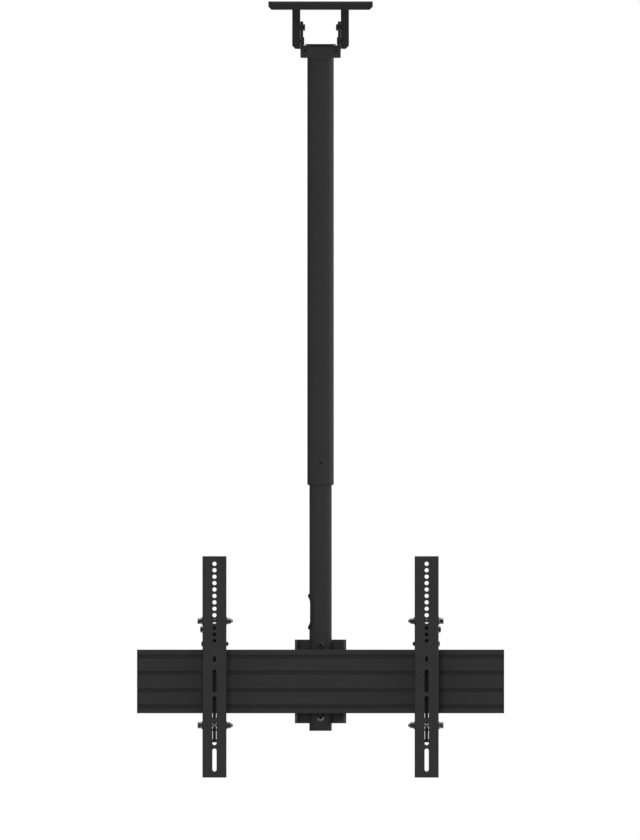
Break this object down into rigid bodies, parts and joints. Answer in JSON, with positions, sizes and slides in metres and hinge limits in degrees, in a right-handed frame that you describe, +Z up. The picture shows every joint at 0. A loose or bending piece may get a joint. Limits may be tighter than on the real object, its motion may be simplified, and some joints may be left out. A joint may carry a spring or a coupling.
{
  "type": "tv ceiling mount",
  "caption": "Ceiling mount for a flat screen: tilting ceiling bracket, telescopic pole with a cable outlet, and a grooved rail with hooked, tilting screen arms.",
  "frame": {"origin": "centre of the ceiling plate's upper face, in the middle of its anchor holes", "axes": "+X to the right along the rail as the screen's viewer sees it, -Y towards the viewer, +Z up into the ceiling"},
  "size_m": [0.692, 0.193, 1.4632],
  "materials": {
    "black_coat": "fine-textured satin black powder coat on steel",
    "black_rail": "satin black anodised extrusion",
    "black_steel": "blackened steel fasteners",
    "zinc_steel": "bright zinc-plated fasteners",
    "black_plastic": "matt moulded plastic",
    "black_rubber": "matt rubber"
  },
  "bodies": {
    "ceiling": {"ceiling_plate": "black_coat", "left_ceiling_ear": "black_coat", "right_ceiling_ear": "black_coat", "pivot_bolts": "black_steel", "pivot_washers": "black_steel", "pivot_nuts": "black_steel"},
    "head": {"pole_head": "black_coat", "lock_bolts": "black_steel", "lock_washers": "black_steel", "lock_nuts": "black_steel", "clamp_screws": "black_steel", "clamp_nuts": "black_steel"},
    "outer_pole": {"outer_tube": "black_coat", "lower_guide_bush": "black_plastic", "height_lock_screw": "black_steel"},
    "drop": {"inner_tube": "black_coat", "stop_ring": "black_plastic", "tube_end_plug": "black_plastic", "cable_grommet": "black_rubber", "pole_saddle": "black_coat", "upper_pole_screw": "black_steel", "lower_pole_bolt": "zinc_steel", "pole_washers": "zinc_steel", "pole_nuts": "zinc_steel", "rail": "black_rail", "left_end_cap": "black_plastic", "right_end_cap": "black_plastic", "rail_bolts": "zinc_steel", "rail_washers": "zinc_steel", "slot_nuts": "zinc_steel"},
    "left_carriage": {"left_hook": "black_coat", "left_lock_screw": "black_steel", "left_lock_nut": "black_steel", "left_pivot_pin": "black_steel", "left_pivot_clip": "black_steel", "left_tilt_screw": "black_steel", "left_tilt_nut": "black_steel"},
    "left_screen_arm": {"left_arm": "black_coat", "left_tie_bolts": "zinc_steel", "left_tie_washers": "zinc_steel", "left_spring_washers": "zinc_steel", "left_tie_nuts": "zinc_steel"},
    "right_carriage": {"right_hook": "black_coat", "right_lock_screw": "black_steel", "right_lock_nut": "black_steel", "right_pivot_pin": "black_steel", "right_pivot_clip": "black_steel", "right_tilt_screw": "black_steel", "right_tilt_nut": "black_steel"},
    "right_screen_arm": {"right_arm": "black_coat", "right_tie_bolts": "zinc_steel", "right_tie_washers": "zinc_steel", "right_spring_washers": "zinc_steel", "right_tie_nuts": "zinc_steel"}
  },
  "joints": [
    {"name": "head_tilt", "type": "hinge", "parent": "ceiling", "child": "head", "pos_m": [0, 0, -0.049], "axis": [1, 0, 0], "range_deg": [-25, 25]},
    {"name": "pole_swivel", "type": "hinge", "parent": "head", "child": "outer_pole", "pos_m": [0, 0, -0.0826], "axis": [0, 0, 1], "continuous": true},
    {"name": "height_slide", "type": "slide", "parent": "outer_pole", "child": "drop", "axis": [0, 0, 1], "range_m": [-0.28, 0.2]},
    {"name": "left_slide", "type": "slide", "parent": "drop", "child": "left_carriage", "axis": [1, 0, 0], "range_m": [-0.1, 0.15]},
    {"name": "left_tilt", "type": "hinge", "parent": "left_carriage", "child": "left_screen_arm", "pos_m": [-0.2, -0.102, -1.211], "axis": [1, 0, 0], "range_deg": [0, 12]},
    {"name": "right_slide", "type": "slide", "parent": "drop", "child": "right_carriage", "axis": [-1, 0, 0], "range_m": [-0.1, 0.15]},
    {"name": "right_tilt", "type": "hinge", "parent": "right_carriage", "child": "right_screen_arm", "pos_m": [0.2, -0.102, -1.211], "axis": [1, 0, 0], "range_deg": [0, 12]}
  ]
}
